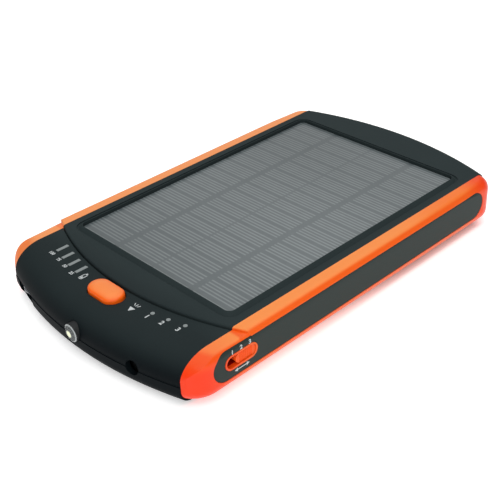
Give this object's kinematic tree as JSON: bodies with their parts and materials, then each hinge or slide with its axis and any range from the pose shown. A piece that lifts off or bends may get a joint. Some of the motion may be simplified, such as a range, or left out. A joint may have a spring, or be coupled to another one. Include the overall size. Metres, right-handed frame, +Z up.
{
  "type": "solar phone charger",
  "caption": "Flat solar charger with a recessed panel, wrap-around side rails, a push button, level lights, a torch, a USB socket, a DC jack and a side slide switch.",
  "frame": {"origin": "on the table under the middle of the charger's outline", "axes": "+X to the side with the slide switch, +Y from the nose to the rear, +Z up"},
  "size_m": [0.11, 0.186, 0.0212],
  "materials": {
    "charcoal_shell": "fine matt moulded plastic",
    "orange_shell": "satin painted plastic",
    "slate_inlay": "soft matt plastic",
    "clear_sheet": "clear panel cover",
    "cell_grey": "solar cells under a clear cover",
    "white_backing": "plain board",
    "black_rubber": "matt rubber",
    "black_plastic": "plain moulded plastic",
    "board_green": "solder mask",
    "plated_steel": "nickel plate",
    "contact_gold": "plated contacts",
    "light_plastic": "translucent plastic",
    "lens_clear": "clear moulded lens",
    "emitter_yellow": "phosphor on a white base",
    "pouch_foil": "silver laminate",
    "lead_red": "insulation",
    "lead_black": "insulation",
    "can_grey": "sleeved can"
  },
  "bodies": {
    "case": {"bottom_cover": "charcoal_shell", "top_cover": "charcoal_shell", "deck_frame": "charcoal_shell", "rail_right": "orange_shell", "rail_left": "orange_shell", "inlay_right": "slate_inlay", "inlay_left": "slate_inlay", "rubber_feet": "black_rubber", "case_screws": "plated_steel", "board_screws": "plated_steel", "panel_board": "white_backing", "solar_cells": "cell_grey", "panel_sheet": "clear_sheet", "panel_tape": "black_plastic", "tact_switch": "black_plastic", "switch_body": "plated_steel", "light_bars": "light_plastic", "light_dots": "light_plastic", "charge_leds": "emitter_yellow", "output_leds": "emitter_yellow", "torch_lens": "lens_clear", "torch_emitter": "emitter_yellow", "usb_shell": "plated_steel", "usb_tongue": "white_backing", "usb_contacts": "contact_gold", "jack_body": "black_plastic", "jack_pin": "plated_steel", "main_board": "board_green", "power_coils": "black_plastic", "capacitors": "can_grey", "converter_chips": "black_plastic", "battery_cell_1": "pouch_foil", "battery_cell_2": "pouch_foil", "battery_cell_3": "pouch_foil", "battery_cell_4": "pouch_foil", "battery_cell_5": "pouch_foil", "battery_cell_6": "pouch_foil", "battery_board": "board_green", "cell_tabs": "plated_steel", "battery_pads": "black_rubber", "battery_lead_red": "lead_red", "battery_lead_black": "lead_black", "panel_lead_red": "lead_red", "panel_lead_black": "lead_black"},
    "button": {"power_button": "orange_shell", "tact_plunger": "black_plastic"},
    "slide": {"slide_knob": "orange_shell", "switch_lever": "black_plastic"}
  },
  "joints": [
    {"name": "button_press", "type": "slide", "parent": "case", "child": "button", "axis": [0, 0, -1], "range_m": [0, 0.0005], "stiffness_N_per_m": 3000},
    {"name": "switch_slide", "type": "slide", "parent": "case", "child": "slide", "axis": [0, -1, 0], "range_m": [0, 0.004]}
  ]
}
